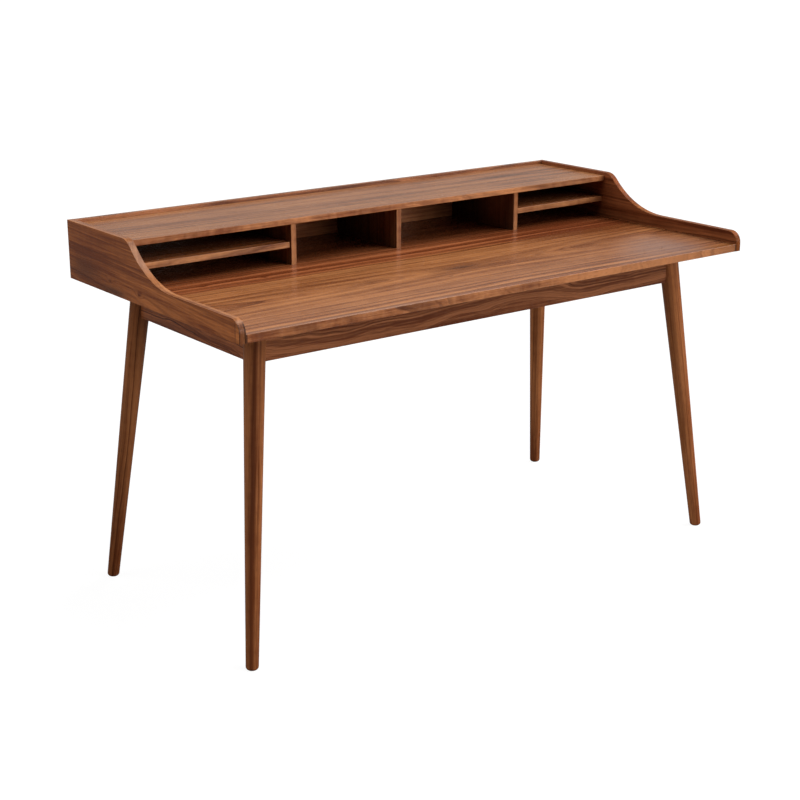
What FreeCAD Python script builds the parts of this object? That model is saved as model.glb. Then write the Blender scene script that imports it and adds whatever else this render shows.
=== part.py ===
"""Writing desk with a low hutch on four splayed, tapered round legs.

Millimetres, +Z up, +X to the sitter's right, -Y towards the sitter.
The origin is on the floor, below the middle of the side panels.
"""
import FreeCAD, Part
import math
import os

Vector = FreeCAD.Vector

# Top: desktop board between two side panels
overall_width = 1446.0
overall_depth = 728.0
desktop_height = 750.0
desktop_thickness = 18.0
side_panel_thickness = 16.0
lip_height = 30.0
front_corner_radius = 28.0
sweep_run = 203.0
sweep_top_radius = 45.0
arris = 1.0

# Hutch: top board, back panel, three dividers and two loose shelves
hutch_depth = 261.0
bay_height = 95.0
hutch_top_thickness = 14.0
hutch_top_drop = 8.0
back_panel_thickness = 12.0
divider_thickness = 14.0
left_bay_width = 417.0
inner_left_bay_width = 291.0
inner_right_bay_width = 361.0
shelf_thickness = 14.0
shelf_clear_height = 40.0
shelf_set_back = 4.0
shelf_end_gap = 1.0
shelf_rear_gap = 1.0

# Shelf supports: a round spigot in the board and a flat tongue under the shelf
spigot_diameter = 5.0
spigot_length = 8.0
tongue_length = 10.0
tongue_width = 12.0
tongue_thickness = 2.5
support_front_inset = 30.0
support_rear_inset = 30.0

# Base: legs, rails, corner blocks and the bearer across the middle
leg_top_diameter = 48.6
leg_foot_diameter = 28.0
leg_side_inset = 118.5
leg_front_inset = 132.0
leg_rear_inset = 122.0
leg_side_splay = 77.5
leg_depth_splay = 76.0
foot_rounding = 7.5
rail_height = 83.0
rail_thickness = 20.0
rail_proud = 11.0
rail_end_gap = 0.2
bearer_height = 60.0
bearer_thickness = 20.0
block_height = 60.0
block_thickness = 26.0
block_leg_gap = 3.0
block_top_gap = 6.0

# Leg bolts: one through each corner block into its leg, with a washer and a hexagon nut
bolt_diameter = 8.0
bolt_depth_in_leg = 33.0
bolt_end_length = 3.0
washer_diameter = 22.0
washer_thickness = 1.6
nut_across_flats = 13.0
nut_thickness = 6.5

# Dowels and the holes for all fastenings
dowel_diameter = 8.0
dowel_length = 30.0
dowel_shallow_depth = 10.0
small_dowel_diameter = 6.0
small_dowel_length = 24.0
small_dowel_shallow_depth = 8.0
dowel_end_gap = 0.5
hole_clearance = 0.1

# Wood screws
block_screw_diameter = 4.0
block_screw_bite = 20.0
block_screw_head_diameter = 8.0
bearer_screw_diameter = 4.5
bearer_screw_bite = 12.0
bearer_screw_head_diameter = 9.0
bearer_screw_head_thickness = 3.0
bearer_counterbore_diameter = 11.0
bearer_counterbore_depth = 30.0
bracket_screw_diameter = 4.0
bracket_screw_bite = 10.5
bracket_screw_head_diameter = 8.0
bracket_screw_head_thickness = 2.4

# Steel angle brackets between the rails and the desktop
bracket_leg_length = 28.0
bracket_width = 22.0
bracket_thickness = 2.5
bracket_bend_radius = 3.0
bracket_hole_inset = 11.0

# Places of the fastenings, as shares of the length that carries them
side_dowel_shares = (0.07, 0.285, 0.5, 0.715, 0.93)
hutch_top_dowel_shares = (0.15, 0.5, 0.85)
divider_dowel_shares = (0.22, 0.78)
back_panel_dowel_shares = (0.09, 0.27, 0.45, 0.63, 0.91)
back_panel_end_dowel_shares = (0.42, 0.76)
bearer_dowel_shares = (0.3, 0.7)
bearer_screw_shares = (0.18, 0.5, 0.82)
rail_bracket_shares = (0.27, 0.73)
side_rail_bracket_shares = (0.5,)
block_screw_shares = (-0.7, 0.7)

# Overrun of every cutting tool past the face that it cuts through
overrun = 5.0

# Planes worked out from the sizes
half_width = overall_width / 2
half_depth = overall_depth / 2
inner_x = half_width - side_panel_thickness
underside = desktop_height - desktop_thickness
desktop_mid = desktop_height - desktop_thickness / 2
back_face = half_depth - back_panel_thickness
hutch_front = half_depth - hutch_depth
hutch_top_lower = desktop_height + bay_height
hutch_top_upper = hutch_top_lower + hutch_top_thickness
hutch_top_mid = hutch_top_lower + hutch_top_thickness / 2
overall_height = hutch_top_upper + hutch_top_drop
shelf_lower = desktop_height + shelf_clear_height
shelf_front = hutch_front + shelf_set_back
shelf_rear = back_face - shelf_rear_gap

# Left faces of the dividers, from left to right
left_divider_x = left_bay_width - inner_x
centre_divider_x = left_divider_x + divider_thickness + inner_left_bay_width
right_divider_x = centre_divider_x + divider_thickness + inner_right_bay_width

# Screws through one piece with a bite in the next
bracket_screw_length = bracket_thickness + bracket_screw_bite
bearer_screw_length = bearer_height - bearer_counterbore_depth + bearer_screw_bite

# Rails: the height at their middle sets how far they stand out from the leg's axis
rail_lower = underside - rail_height
rail_mid = underside - rail_height / 2
corners = {"front_left": (-1, -1), "front_right": (1, -1), "rear_left": (-1, 1), "rear_right": (1, 1)}


def box(x0, x1, y0, y1, z0, z1):
    """Box between two corners."""
    return Part.makeBox(x1 - x0, y1 - y0, z1 - z0, Vector(x0, y0, z0))


def rod(start, direction, diameter, length):
    """Cylinder from a point along a direction."""
    return Part.makeCylinder(diameter / 2, length, start, direction)


def cut_all(solid, tools):
    """Solid without the space of the tools."""
    if not tools:
        return solid
    return solid.cut(tools).Solids[0]


def ease(solid, chosen, radius=arris):
    """Rounds the edges whose middle point the chooser picks."""
    edges = [e for e in solid.Edges if chosen(e.valueAt((e.FirstParameter + e.LastParameter) / 2), e)]
    if not edges:
        return solid
    return solid.makeFillet(radius, edges).Solids[0]


def near(value, target):
    """Whether two coordinates are the same place."""
    return abs(value - target) < arris / 10


def spread(shares, start, end):
    """Places at shares of the way from start to end."""
    return [start + (end - start) * share for share in shares]


def dowel(point, direction, small):
    """One dowel across a joint: its shallow end lies along the direction, the rest behind the point."""
    diameter, length, shallow = dowel_sizes(small)
    return rod(point + direction * (shallow - length), direction, diameter, length)


def dowel_hole(point, direction, small):
    """Space of one dowel, which cuts both boards of the joint."""
    diameter, length, shallow = dowel_sizes(small)
    start = point + direction * (shallow - length - dowel_end_gap)
    return rod(start, direction, diameter + 2 * hole_clearance, length + dowel_end_gap)


def dowel_sizes(small):
    """Diameter, length and shallow depth of a dowel."""
    if small:
        return small_dowel_diameter, small_dowel_length, small_dowel_shallow_depth
    return dowel_diameter, dowel_length, dowel_shallow_depth


def side_joint(side):
    """Dowels from the desktop's end into a side panel."""
    outward = Vector(side, 0, 0)
    ys = spread(side_dowel_shares, -half_depth, back_face)
    return [(Vector(side * inner_x, y, desktop_mid), outward, False) for y in ys]


def hutch_top_joint(side):
    """Dowels from the end of the hutch's top board into a side panel."""
    outward = Vector(side, 0, 0)
    ys = spread(hutch_top_dowel_shares, hutch_front, back_face)
    return [(Vector(side * inner_x, y, hutch_top_mid), outward, True) for y in ys]


def back_end_joint(side):
    """Dowels from the end of the back panel into a side panel."""
    outward = Vector(side, 0, 0)
    zs = spread(back_panel_end_dowel_shares, underside, overall_height)
    return [(Vector(side * inner_x, half_depth - back_panel_thickness / 2, z), outward, True) for z in zs]


def back_joint(height):
    """Dowels from the rear edge of a board at a height into the back panel."""
    xs = spread(back_panel_dowel_shares, -inner_x, inner_x)
    return [(Vector(x, back_face, height), Vector(0, 1, 0), True) for x in xs]


def divider_joint(left_x, height, upward):
    """Dowels from a divider's end into the board below or above it."""
    ys = spread(divider_dowel_shares, hutch_front, back_face)
    x = left_x + divider_thickness / 2
    return [(Vector(x, y, height), Vector(0, 0, upward), True) for y in ys]


def divider_joints(left_x):
    """Both ends of a divider."""
    return divider_joint(left_x, desktop_height, -1) + divider_joint(left_x, hutch_top_lower, 1)


def dowels(joints):
    """All dowels of some joints, as separate solids."""
    return [dowel(*joint) for joint in joints]


def dowel_holes(joints):
    """The holes of some joints."""
    return [dowel_hole(*joint) for joint in joints]


def divider_faces():
    """Left faces of the three dividers."""
    return {"left": left_divider_x, "centre": centre_divider_x, "right": right_divider_x}


def shelf_bays():
    """Both bays with a shelf: left face and right face."""
    return {"left": (-inner_x, left_divider_x), "right": (right_divider_x + divider_thickness, inner_x)}


def arc(centre, radius, start, end, x):
    """Arc in the plane of a side panel, between two angles from +Y."""
    def at(angle):
        return Vector(x, centre[0] + radius * math.cos(angle), centre[1] + radius * math.sin(angle))
    return Part.Arc(at(start), at((start + end) / 2), at(end)).toShape()


def side_outline(x):
    """Outline of a side panel: high at the hutch, an S-shaped sweep down, a low lip and a round corner."""
    drop = overall_height - desktop_height - lip_height
    low = desktop_height + lip_height
    bottom_radius = (sweep_run ** 2 + drop ** 2) / (2 * drop) - sweep_top_radius
    top_centre = (hutch_front, overall_height - sweep_top_radius)
    bottom_centre = (hutch_front - sweep_run, low + bottom_radius)
    turn = math.atan2(bottom_centre[1] - top_centre[1], bottom_centre[0] - top_centre[0])
    corner_centre = (-half_depth + front_corner_radius, low - front_corner_radius)
    rear_bottom = Vector(x, half_depth, underside)
    rear_top = Vector(x, half_depth, overall_height)
    front_bottom = Vector(x, -half_depth, underside)
    sweep_start = Vector(x, hutch_front, overall_height)
    sweep_end = Vector(x, hutch_front - sweep_run, low)
    corner_start = Vector(x, corner_centre[0], low)
    corner_end = Vector(x, -half_depth, corner_centre[1])
    edges = [Part.makeLine(rear_bottom, rear_top), Part.makeLine(rear_top, sweep_start)]
    edges.append(arc(top_centre, sweep_top_radius, math.pi / 2, turn, x))
    edges.append(arc(bottom_centre, bottom_radius, turn - math.pi, -math.pi / 2, x))
    edges.append(Part.makeLine(sweep_end, corner_start))
    edges.append(arc(corner_centre, front_corner_radius, math.pi / 2, math.pi, x))
    edges.append(Part.makeLine(corner_end, front_bottom))
    edges.append(Part.makeLine(front_bottom, rear_bottom))
    return Part.Wire(edges)


def side_panel(side):
    """One side panel with eased edges along its outline and the holes of its inner face."""
    start = inner_x if side > 0 else -half_width
    face = Part.Face(side_outline(start))
    panel = face.extrude(Vector(side_panel_thickness, 0, 0))

    def outline_edge(middle, edge):
        on_face = near(abs(middle.x), inner_x) or near(abs(middle.x), half_width)
        return on_face and not near(middle.z, underside) and not near(middle.y, half_depth)
    panel = ease(panel, outline_edge)
    holes = dowel_holes(side_joint(side) + hutch_top_joint(side) + back_end_joint(side))
    holes += spigot_holes("left" if side < 0 else "right", side)
    return cut_all(panel, holes)


def desktop():
    """Desktop board between the side panels, in front of the back panel."""
    board = box(-inner_x, inner_x, -half_depth, back_face, underside, desktop_height)
    board = ease(board, lambda middle, edge: near(middle.y, -half_depth) and near(middle.x, 0))
    joints = side_joint(-1) + side_joint(1) + back_joint(desktop_mid)
    for face in divider_faces().values():
        joints += divider_joint(face, desktop_height, -1)
    tools = dowel_holes(joints) + [bearer_screw_hole(y) for y in bearer_screw_places()]
    tools += [screw_hole(*place) for place in desktop_bracket_screws()]
    return cut_all(board, tools)


def hutch_top():
    """Top board of the hutch, a little below the edges round it."""
    board = box(-inner_x, inner_x, hutch_front, back_face, hutch_top_lower, hutch_top_upper)
    board = ease(board, lambda middle, edge: near(middle.y, hutch_front) and near(middle.x, 0))
    joints = hutch_top_joint(-1) + hutch_top_joint(1) + back_joint(hutch_top_mid)
    for face in divider_faces().values():
        joints += divider_joint(face, hutch_top_lower, 1)
    return cut_all(board, dowel_holes(joints))


def back_panel():
    """Back panel between the side panels, from the desktop's underside to their top edge."""
    board = box(-inner_x, inner_x, back_face, half_depth, underside, overall_height)
    board = ease(board, lambda middle, edge: near(middle.z, overall_height) and near(middle.x, 0))
    joints = back_end_joint(-1) + back_end_joint(1) + back_joint(desktop_mid) + back_joint(hutch_top_mid)
    return cut_all(board, dowel_holes(joints))


def divider(name):
    """One upright between the desktop and the hutch's top board."""
    x = divider_faces()[name]
    board = box(x, x + divider_thickness, hutch_front, back_face, desktop_height, hutch_top_lower)
    middle_z = (desktop_height + hutch_top_lower) / 2
    board = ease(board, lambda middle, edge: near(middle.y, hutch_front) and near(middle.z, middle_z))
    tools = dowel_holes(divider_joints(x))
    if name == "left":
        tools += spigot_holes("left", 1)
    if name == "right":
        tools += spigot_holes("right", -1)
    return cut_all(board, tools)


def shelf(name):
    """One loose shelf, a little shorter than its bay."""
    left, right = shelf_bays()[name]
    upper = shelf_lower + shelf_thickness
    board = box(left + shelf_end_gap, right - shelf_end_gap, shelf_front, shelf_rear, shelf_lower, upper)
    middle_x = (left + right) / 2
    return ease(board, lambda middle, edge: near(middle.y, shelf_front) and near(middle.x, middle_x))


def support_places(name, side):
    """Points where the supports of a shelf leave the board on one side of its bay."""
    x = shelf_bays()[name][0 if side < 0 else 1]
    ys = (shelf_front + support_front_inset, shelf_rear - support_rear_inset)
    return [Vector(x, y, shelf_lower - spigot_diameter / 2) for y in ys]


def spigot_holes(name, side):
    """Blind holes for the spigots on one side of a bay."""
    outward = Vector(side, 0, 0)
    diameter = spigot_diameter + 2 * hole_clearance
    return [rod(place, outward, diameter, spigot_length) for place in support_places(name, side)]


def shelf_support(place, side):
    """One support: spigot in the board, tongue under the shelf."""
    spigot = rod(place, Vector(side, 0, 0), spigot_diameter, spigot_length)
    reach = sorted((place.x, place.x - side * tongue_length))
    half = tongue_width / 2
    low = shelf_lower - tongue_thickness
    tongue = box(reach[0], reach[1], place.y - half, place.y + half, low, shelf_lower)
    tip = place.x - side * tongue_length

    def corner(middle, edge):
        return near(middle.x, tip) and abs(middle.y - place.y) > half - arris
    tongue = ease(tongue, corner, half - arris)
    return spigot.fuse(tongue).removeSplitter().Solids[0]


def shelf_supports(name):
    """The four supports of one shelf."""
    return [shelf_support(place, side) for side in (-1, 1) for place in support_places(name, side)]


def leg_axis(corner, height):
    """Point of a leg's axis at a height."""
    side, depth = corners[corner]
    spread_share = (underside - height) / underside
    x = half_width - leg_side_inset + leg_side_splay * spread_share
    inset = leg_front_inset if depth < 0 else leg_rear_inset
    y = half_depth - inset + leg_depth_splay * spread_share
    return Vector(side * x, depth * y, height)


def leg_diameter(height):
    """Diameter of a leg at a height."""
    return leg_foot_diameter + (leg_top_diameter - leg_foot_diameter) * height / underside


def leg_cone(corner, gap=0):
    """Tapered round along a leg's axis, longer than the leg at both ends."""
    low = leg_axis(corner, -overrun)
    high = leg_axis(corner, underside + overrun)
    axis = high - low
    low_radius = leg_diameter(-overrun) / 2 + gap
    high_radius = leg_diameter(underside + overrun) / 2 + gap
    return Part.makeCone(low_radius, high_radius, axis.Length, low, axis)


def leg(corner):
    """One leg, cut level at the floor and at the desktop, with a rounded foot and a blind bolt hole."""
    room = box(-half_width, half_width, -half_depth, half_depth, 0, underside)
    solid = leg_cone(corner).common(room).Solids[0]
    solid = ease(solid, lambda middle, edge: near(middle.z, 0), foot_rounding)
    return cut_all(solid, [bolt_hole(corner)])


def rail_planes():
    """Outer faces of the rails: front, rear and side."""
    front = leg_axis("front_left", rail_mid).y - rail_proud
    rear = leg_axis("rear_left", rail_mid).y + rail_proud
    side = leg_axis("front_right", rail_mid).x + rail_proud
    return front, rear, side


def cross_rail(depth):
    """Front or rear rail, shaped at both ends to the round of the legs."""
    front, rear, side = rail_planes()
    y0, y1 = (front, front + rail_thickness) if depth < 0 else (rear - rail_thickness, rear)
    end = leg_axis("front_right", rail_mid).x
    rail = box(-end, end, y0, y1, rail_lower, underside)
    names = [name for name in corners if corners[name][1] == depth]
    rail = rail.cut([leg_cone(name, rail_end_gap) for name in names])
    rail = max(rail.Solids, key=lambda solid: solid.Volume)
    outer = front if depth < 0 else rear
    rail = ease(rail, lambda middle, edge: near(middle.y, outer) and near(middle.z, rail_lower))
    tools = dowel_holes([joint for joint in bearer_joints() if joint[1].y == depth])
    tools += [screw_hole(*place) for place in rail_bracket_screws() if place[1].y == depth]
    tools += [block_screw_hole(*place) for name in names for place in block_screws(name)]
    return cut_all(rail, tools)


def side_rail(side):
    """Side rail, shaped at both ends to the round of the legs."""
    outer = side * rail_planes()[2]
    xs = sorted((outer, outer - side * rail_thickness))
    y0 = leg_axis("front_left", rail_mid).y
    y1 = leg_axis("rear_left", rail_mid).y
    rail = box(xs[0], xs[1], y0, y1, rail_lower, underside)
    names = [name for name in corners if corners[name][0] == side]
    rail = rail.cut([leg_cone(name, rail_end_gap) for name in names])
    rail = max(rail.Solids, key=lambda solid: solid.Volume)
    rail = ease(rail, lambda middle, edge: near(middle.x, outer) and near(middle.z, rail_lower))
    tools = [screw_hole(*place) for place in rail_bracket_screws() if place[1].x == side]
    tools += [block_screw_hole(*place) for name in names for place in block_screws(name)]
    return cut_all(rail, tools)


def rail_inner_planes():
    """Inner faces of the rails: front, rear and side."""
    front, rear, side = rail_planes()
    return front + rail_thickness, rear - rail_thickness, side - rail_thickness


def bearer_joints():
    """Dowels from the ends of the bearer into the front and rear rails."""
    front, rear, side = rail_inner_planes()
    zs = spread(bearer_dowel_shares, underside - bearer_height, underside)
    joints = [(Vector(0, front, z), Vector(0, -1, 0), False) for z in zs]
    return joints + [(Vector(0, rear, z), Vector(0, 1, 0), False) for z in zs]


def bearer_screw_places():
    """Places of the screws along the bearer."""
    front, rear, side = rail_inner_planes()
    return spread(bearer_screw_shares, front, rear)


def centre_bearer():
    """Bearer under the middle of the desktop, from the front rail to the rear rail."""
    front, rear, side = rail_inner_planes()
    half = bearer_thickness / 2
    lower = underside - bearer_height
    bearer = box(-half, half, front, rear, lower, underside)
    tools = dowel_holes(bearer_joints())
    for y in bearer_screw_places():
        start = Vector(0, y, lower - overrun)
        depth = bearer_counterbore_depth + overrun
        tools.append(rod(start, Vector(0, 0, 1), bearer_counterbore_diameter, depth))
        tools.append(bearer_screw_hole(y))
    return cut_all(bearer, tools)


def bearer_screw_seat(y):
    """Point where a screw's head meets the bottom of its counterbore."""
    return Vector(0, y, underside - bearer_height + bearer_counterbore_depth)


def bearer_screw_hole(y):
    """Hole of a screw through the bearer into the desktop."""
    diameter = bearer_screw_diameter + 2 * hole_clearance
    return rod(bearer_screw_seat(y), Vector(0, 0, 1), diameter, bearer_screw_length)


def headed_screw(seat, direction, diameter, length, head_diameter, head_thickness):
    """Screw with a flat-seated round head."""
    shank = rod(seat, direction, diameter, length)
    head = rod(seat - direction * head_thickness, direction, head_diameter, head_thickness)
    top = seat - direction * head_thickness

    def rim(middle, edge):
        return (middle - top).Length > diameter / 2 and abs((middle - top).dot(direction)) < arris / 10
    head = ease(head, rim, head_thickness / 2)
    return shank.fuse(head).removeSplitter().Solids[0]


def bearer_screws():
    """Screws from the bearer up into the desktop."""
    up = Vector(0, 0, 1)
    shank = (bearer_screw_diameter, bearer_screw_length)
    head = (bearer_screw_head_diameter, bearer_screw_head_thickness)
    return [headed_screw(bearer_screw_seat(y), up, *shank, *head) for y in bearer_screw_places()]


def block_frame(corner):
    """Corner of the rails' inner faces, and the way from it to the middle of the desk."""
    side, depth = corners[corner]
    front, rear, inner = rail_inner_planes()
    point = Vector(side * inner, front if depth < 0 else rear, 0)
    return point, Vector(-side, -depth, 0).normalize()


def block_distances(corner):
    """How far the two long faces of a corner block lie from the corner of the rails."""
    point, inward = block_frame(corner)
    axis = leg_axis(corner, underside) - point
    near_face = axis.dot(inward) + leg_top_diameter / 2 + block_leg_gap
    return near_face, near_face + block_thickness


def corner_block(corner):
    """Hardwood block across the corner behind a leg, between both rails."""
    side, depth = corners[corner]
    point, inward = block_frame(corner)
    reach = [distance * math.sqrt(2) for distance in block_distances(corner)]
    lower = underside - block_top_gap - block_height
    points = [point - Vector(side * reach[0], 0, 0), point - Vector(side * reach[1], 0, 0)]
    points += [point - Vector(0, depth * reach[1], 0), point - Vector(0, depth * reach[0], 0)]
    points = [Vector(p.x, p.y, lower) for p in points]
    block = Part.Face(Part.makePolygon(points + points[:1])).extrude(Vector(0, 0, block_height))
    tools = [bolt_hole(corner)] + [block_screw_hole(*place) for place in block_screws(corner)]
    return cut_all(block, tools)


def bolt_line(corner):
    """Start of a leg bolt inside the leg, its direction and its length up to the block's inner face."""
    point, inward = block_frame(corner)
    height = underside - block_top_gap - block_height / 2
    axis = leg_axis(corner, height)
    surface = (axis - point).dot(inward) + leg_diameter(height) / 2
    start = axis + inward * (leg_diameter(height) / 2 - bolt_depth_in_leg)
    length = bolt_depth_in_leg + block_distances(corner)[1] - surface
    return start, inward, length


def bolt_hole(corner):
    """Space of a leg bolt, open at the block's inner face."""
    start, inward, length = bolt_line(corner)
    return rod(start, inward, bolt_diameter + 2 * hole_clearance, length + overrun)


def leg_bolt(corner):
    """Bolt with its wood end in the leg and its metal end in the nut."""
    start, inward, length = bolt_line(corner)
    total = length + washer_thickness + nut_thickness + bolt_end_length
    return rod(start, inward, bolt_diameter, total)


def leg_washer(corner):
    """Washer on the block's inner face."""
    start, inward, length = bolt_line(corner)
    seat = start + inward * length
    disc = rod(seat, inward, washer_diameter, washer_thickness)
    return disc.cut(rod(start, inward, bolt_diameter + 2 * hole_clearance, length + overrun)).Solids[0]


def leg_nut(corner):
    """Hexagon nut on the washer."""
    start, inward, length = bolt_line(corner)
    seat = start + inward * (length + washer_thickness)
    across = Vector(0, 0, 1).cross(inward)
    radius = nut_across_flats / math.sqrt(3)
    points = []
    for step in range(6):
        angle = math.pi * step / 3
        points.append(seat + across * (radius * math.cos(angle)) + Vector(0, 0, radius * math.sin(angle)))
    hexagon = Part.Face(Part.makePolygon(points + points[:1])).extrude(inward * nut_thickness)
    reach = length + washer_thickness + nut_thickness + overrun
    tool = rod(start, inward, bolt_diameter + 2 * hole_clearance, reach)
    return hexagon.cut(tool).Solids[0]


def block_screws(corner):
    """The two screws of a corner block: head on its inner face, direction into the rails and length."""
    point, inward = block_frame(corner)
    far = block_distances(corner)[1]
    across = Vector(0, 0, 1).cross(inward)
    height = underside - block_top_gap - block_height / 2
    start = point + inward * far + Vector(0, 0, height)
    screws = []
    for share in block_screw_shares:
        length = far * (1 - abs(share)) + block_screw_bite
        screws.append((start + across * (far * share), inward * -1, length))
    return screws


def countersunk(point, direction, diameter, length, head_diameter):
    """Countersunk screw with its head level with the face."""
    depth = (head_diameter - diameter) / 2
    head = Part.makeCone(head_diameter / 2, diameter / 2, depth, point, direction)
    return rod(point, direction, diameter, length).fuse(head).removeSplitter().Solids[0]


def block_screw(point, direction, length):
    """One screw of a corner block."""
    return countersunk(point, direction, block_screw_diameter, length, block_screw_head_diameter)


def block_screw_hole(point, direction, length):
    """Its countersunk hole."""
    gap = 2 * hole_clearance
    return countersunk(point, direction, block_screw_diameter + gap, length, block_screw_head_diameter + gap)


def bracket_places():
    """Brackets: the point where a rail's inner face meets the desktop, and the way out through the rail."""
    front, rear, inner = rail_inner_planes()
    places = []
    for x in spread(rail_bracket_shares, -inner, inner):
        places.append((Vector(x, front, underside), Vector(0, -1, 0)))
        places.append((Vector(x, rear, underside), Vector(0, 1, 0)))
    for y in spread(side_rail_bracket_shares, front, rear):
        places.append((Vector(-inner, y, underside), Vector(-1, 0, 0)))
        places.append((Vector(inner, y, underside), Vector(1, 0, 0)))
    return places


def top_bracket(point, outward):
    """Angle bracket with one leg on the rail and one leg under the desktop."""
    across = Vector(0, 0, 1).cross(outward)
    down = Vector(0, 0, -1)
    size = bracket_leg_length
    start = point - across * (bracket_width / 2)
    inner = bracket_thickness
    outline = [(0, 0), (size, 0), (size, inner), (inner, inner), (inner, size), (0, size)]
    points = [start - outward * a + down * b for a, b in outline]
    solid = Part.Face(Part.makePolygon(points + points[:1])).extrude(across * bracket_width)
    crease = point - outward * inner + down * inner

    def inside_bend(middle, edge):
        return (middle - crease).Length < arris / 10
    solid = ease(solid, inside_bend, bracket_bend_radius)
    tools = [screw_hole(*place) for place in bracket_screw_places(point, outward)]
    return cut_all(solid, tools)


def bracket_screw_places(point, outward):
    """Seats of a bracket's two screws, with their directions: into the rail and into the desktop."""
    down = Vector(0, 0, -1)
    reach = bracket_leg_length - bracket_hole_inset
    into_rail = point - outward * bracket_thickness + down * reach
    into_desktop = point - outward * reach + down * bracket_thickness
    return [(into_rail, outward), (into_desktop, Vector(0, 0, 1))]


def rail_bracket_screws():
    """Bracket screws that go into rails."""
    return [bracket_screw_places(*place)[0] for place in bracket_places()]


def desktop_bracket_screws():
    """Bracket screws that go into the desktop."""
    return [bracket_screw_places(*place)[1] for place in bracket_places()]


def screw_hole(seat, direction):
    """Hole of a bracket screw."""
    return rod(seat, direction, bracket_screw_diameter + 2 * hole_clearance, bracket_screw_length)


def bracket_screws():
    """All screws of the angle brackets."""
    sizes = (bracket_screw_diameter, bracket_screw_length)
    sizes += (bracket_screw_head_diameter, bracket_screw_head_thickness)
    return [headed_screw(*place, *sizes) for place in rail_bracket_screws() + desktop_bracket_screws()]


def all_nodes():
    """Every named piece of the desk, as a list of its solids."""
    nodes = {"desktop": [desktop()], "hutch_top": [hutch_top()], "back_panel": [back_panel()]}
    nodes["left_side_panel"] = [side_panel(-1)]
    nodes["right_side_panel"] = [side_panel(1)]
    for name in divider_faces():
        nodes[name + "_divider"] = [divider(name)]
    for name in shelf_bays():
        nodes[name + "_shelf"] = [shelf(name)]
        nodes[name + "_shelf_supports"] = shelf_supports(name)
    nodes["side_panel_dowels"] = dowels(side_joint(-1) + side_joint(1))
    nodes["hutch_top_dowels"] = dowels(hutch_top_joint(-1) + hutch_top_joint(1))
    back = back_end_joint(-1) + back_end_joint(1) + back_joint(desktop_mid) + back_joint(hutch_top_mid)
    nodes["back_panel_dowels"] = dowels(back)
    uprights = [joint for face in divider_faces().values() for joint in divider_joints(face)]
    nodes["divider_dowels"] = dowels(uprights)
    nodes["front_rail"] = [cross_rail(-1)]
    nodes["rear_rail"] = [cross_rail(1)]
    nodes["left_side_rail"] = [side_rail(-1)]
    nodes["right_side_rail"] = [side_rail(1)]
    nodes["centre_bearer"] = [centre_bearer()]
    nodes["bearer_dowels"] = dowels(bearer_joints())
    nodes["bearer_screws"] = bearer_screws()
    for name in corners:
        nodes[name + "_leg"] = [leg(name)]
        nodes[name + "_corner_block"] = [corner_block(name)]
    nodes["corner_block_screws"] = [block_screw(*place) for name in corners for place in block_screws(name)]
    nodes["leg_bolts"] = [leg_bolt(name) for name in corners]
    nodes["leg_washers"] = [leg_washer(name) for name in corners]
    nodes["leg_nuts"] = [leg_nut(name) for name in corners]
    nodes["top_brackets"] = [top_bracket(*place) for place in bracket_places()]
    nodes["bracket_screws"] = bracket_screws()
    return nodes


def main():
    """Builds the desk and writes one file for each named piece."""
    os.makedirs("parts", exist_ok=True)
    for name, solids in all_nodes().items():
        shape = solids[0] if len(solids) == 1 else Part.makeCompound(solids)
        if not shape.isValid():
            print("not valid:", name)
        shape.exportStep(os.path.join("parts", name + ".step"))
        print(name, len(solids), round(shape.Volume))


main()
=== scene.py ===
"""Looks of a walnut writing desk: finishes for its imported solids, new fittings, floor, light and camera."""
import math

import bpy
from mathutils import Matrix, Vector


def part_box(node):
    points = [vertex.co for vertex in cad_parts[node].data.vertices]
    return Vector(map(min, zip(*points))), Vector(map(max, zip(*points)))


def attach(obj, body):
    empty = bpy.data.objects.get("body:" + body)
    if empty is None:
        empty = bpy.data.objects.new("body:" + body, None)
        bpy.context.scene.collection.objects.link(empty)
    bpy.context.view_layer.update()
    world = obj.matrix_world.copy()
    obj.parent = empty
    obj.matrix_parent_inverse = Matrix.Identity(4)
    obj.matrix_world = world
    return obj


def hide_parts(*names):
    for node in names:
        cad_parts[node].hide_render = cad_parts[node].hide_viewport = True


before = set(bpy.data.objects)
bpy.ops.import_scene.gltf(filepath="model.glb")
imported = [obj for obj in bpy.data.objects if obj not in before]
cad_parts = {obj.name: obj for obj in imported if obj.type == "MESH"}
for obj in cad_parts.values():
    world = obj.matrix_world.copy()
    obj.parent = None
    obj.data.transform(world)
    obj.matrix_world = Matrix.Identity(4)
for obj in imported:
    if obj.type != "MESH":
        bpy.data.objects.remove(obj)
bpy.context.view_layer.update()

bl_info = {
    "name": "Walnut writing desk",
    "version": (1, 0, 0),
    "blender": (4, 5, 0),
    "location": "3D Viewport > Sidebar > Desk",
    "description": "Dresses the desk's solids in walnut, beech and plated steel, and sets up its studio",
    "category": "Object",
}

CORNERS = ("front_left", "front_right", "rear_left", "rear_right")
ORIGIN = (0.0, 0.0, 0.0)

# Where the grain of each board is laid out from, in metres: upper faces, and middles of boards and edges
DESKTOP_FACE, DESKTOP_EDGE = 0.75, 0.741
SHELF_FACE, SHELF_EDGE = 0.804, 0.797
HUTCH_FACE, HUTCH_EDGE = 0.859, 0.852
HUTCH_MIDDLE = 0.80
BACK_PANEL_MIDDLE = 0.352
DIVIDER_MIDDLE = 0.23
PANEL_OUTSIDE, PANEL_MIDDLE, PANEL_INSIDE = 0.723, 0.715, 0.707
PANEL_FRONT = 0.345
RAIL_MIDDLE = 0.69
FRONT_RAIL, REAR_RAIL, SIDE_RAIL = -0.2473, 0.2573, 0.62
LEG_MIDDLE = (0.6433, 0.275, 0.366)
LEG_LEAN = (0.1035, 0.1055)
BASE_SHIFT = 0.005

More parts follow.
